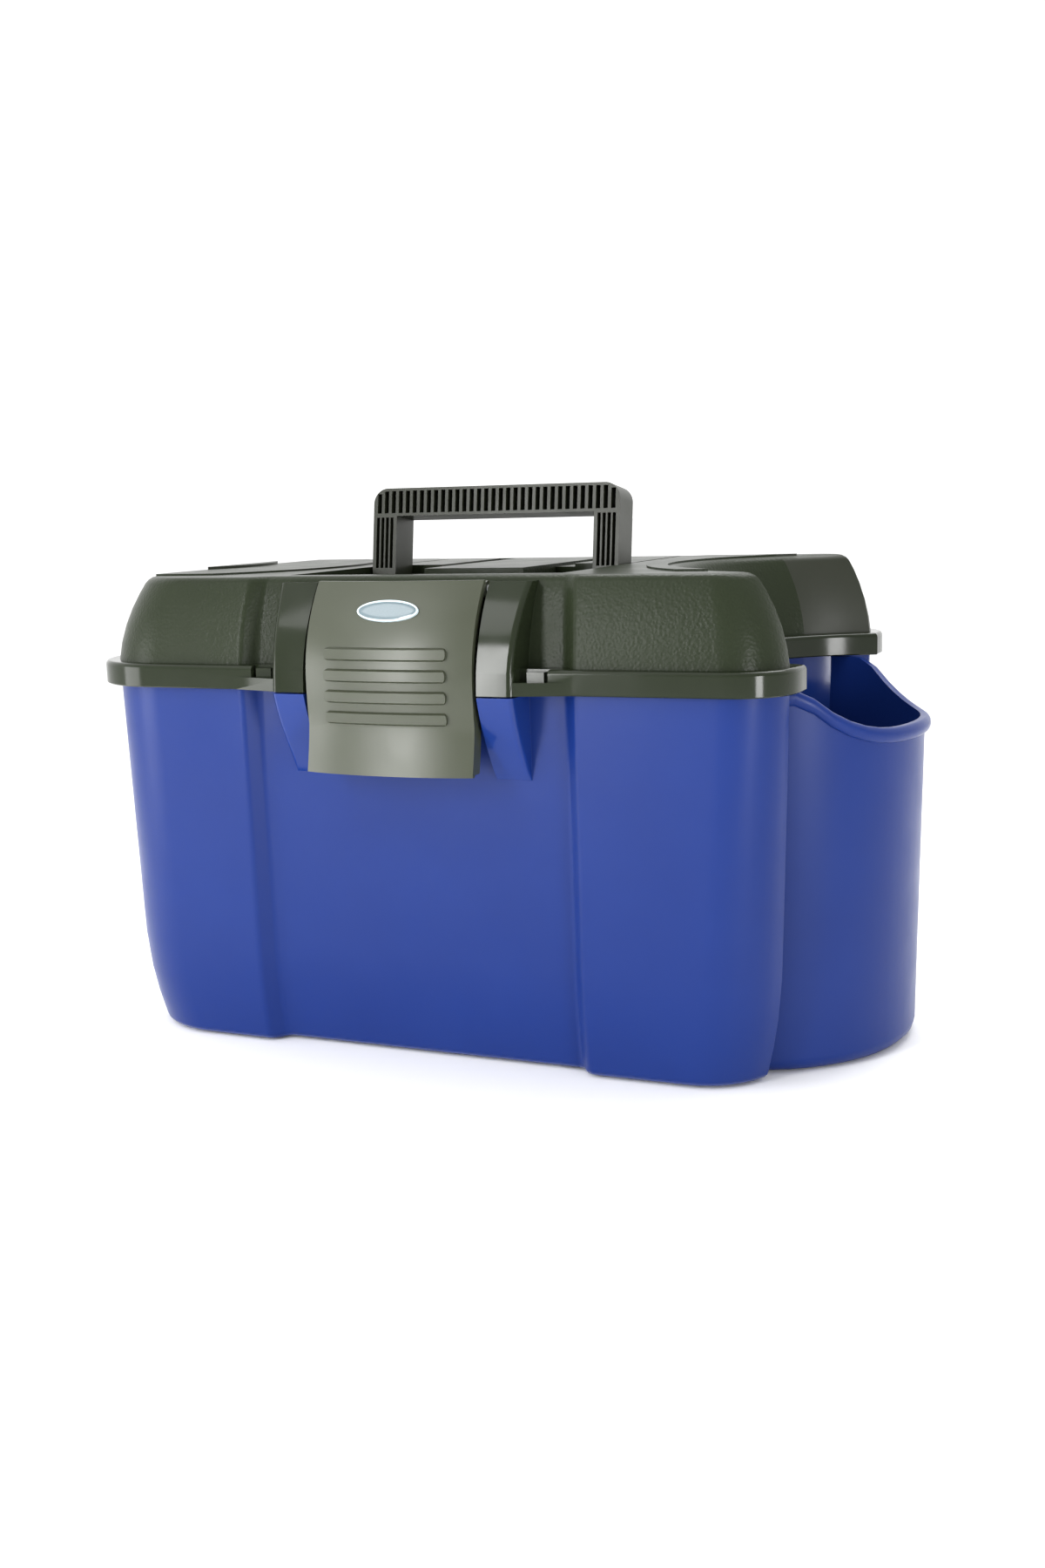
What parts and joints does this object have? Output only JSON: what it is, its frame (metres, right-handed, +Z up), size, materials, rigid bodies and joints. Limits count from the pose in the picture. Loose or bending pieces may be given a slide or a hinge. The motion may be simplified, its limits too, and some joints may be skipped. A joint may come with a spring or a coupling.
{
  "type": "grooming box",
  "caption": "Plastic grooming box: tub with a bay at one end, hinged domed lid with a broad front latch and a folding slotted handle, lift-out tray, scooped open pocket in the bay.",
  "frame": {"origin": "centre of the tub's flat bottom, on the surface the box stands on", "axes": "+X along the box to the viewer's right, -Y to the front (the latch), +Z up"},
  "size_m": [0.4443, 0.2939, 0.301],
  "materials": {
    "tub_blue": "moulded polypropylene, glossy",
    "lid_olive": "moulded polypropylene, leather-grained walls, smooth rim",
    "latch_olive": "moulded polypropylene, satin",
    "handle_olive": "moulded polypropylene, satin",
    "tray_olive": "moulded polypropylene, satin",
    "badge": "pale blue-grey, bare",
    "steel": "drawn steel pin"
  },
  "bodies": {
    "tub_body": {"tub": "tub_blue", "tub_floor": "tub_blue", "pocket": "tub_blue", "hinge_pin_left": "steel", "hinge_pin_right": "steel"},
    "lid_body": {"lid": "lid_olive", "latch_pin": "steel", "handle_pin_left": "steel", "handle_pin_right": "steel"},
    "latch_body": {"latch": "latch_olive", "latch_badge": "badge"},
    "handle_body": {"handle": "handle_olive"},
    "tray_body": {"tray": "tray_olive"}
  },
  "joints": [
    {"name": "lid_hinge", "type": "hinge", "parent": "tub_body", "child": "lid_body", "pos_m": [0, 0.13981, 0.2046], "axis": [-1, 0, 0], "range_deg": [0, 105]},
    {"name": "latch_hinge", "type": "hinge", "parent": "lid_body", "child": "latch_body", "pos_m": [0, -0.11811, 0.2493], "axis": [-1, 0, 0], "range_deg": [0, 100]},
    {"name": "handle_fold", "type": "hinge", "parent": "lid_body", "child": "handle_body", "pos_m": [0, 0.002, 0.245], "axis": [1, 0, 0], "range_deg": [0, 98]},
    {"name": "tray_lift", "type": "slide", "parent": "tub_body", "child": "tray_body", "axis": [0, 0, 1], "range_m": [0, 0.016]}
  ]
}
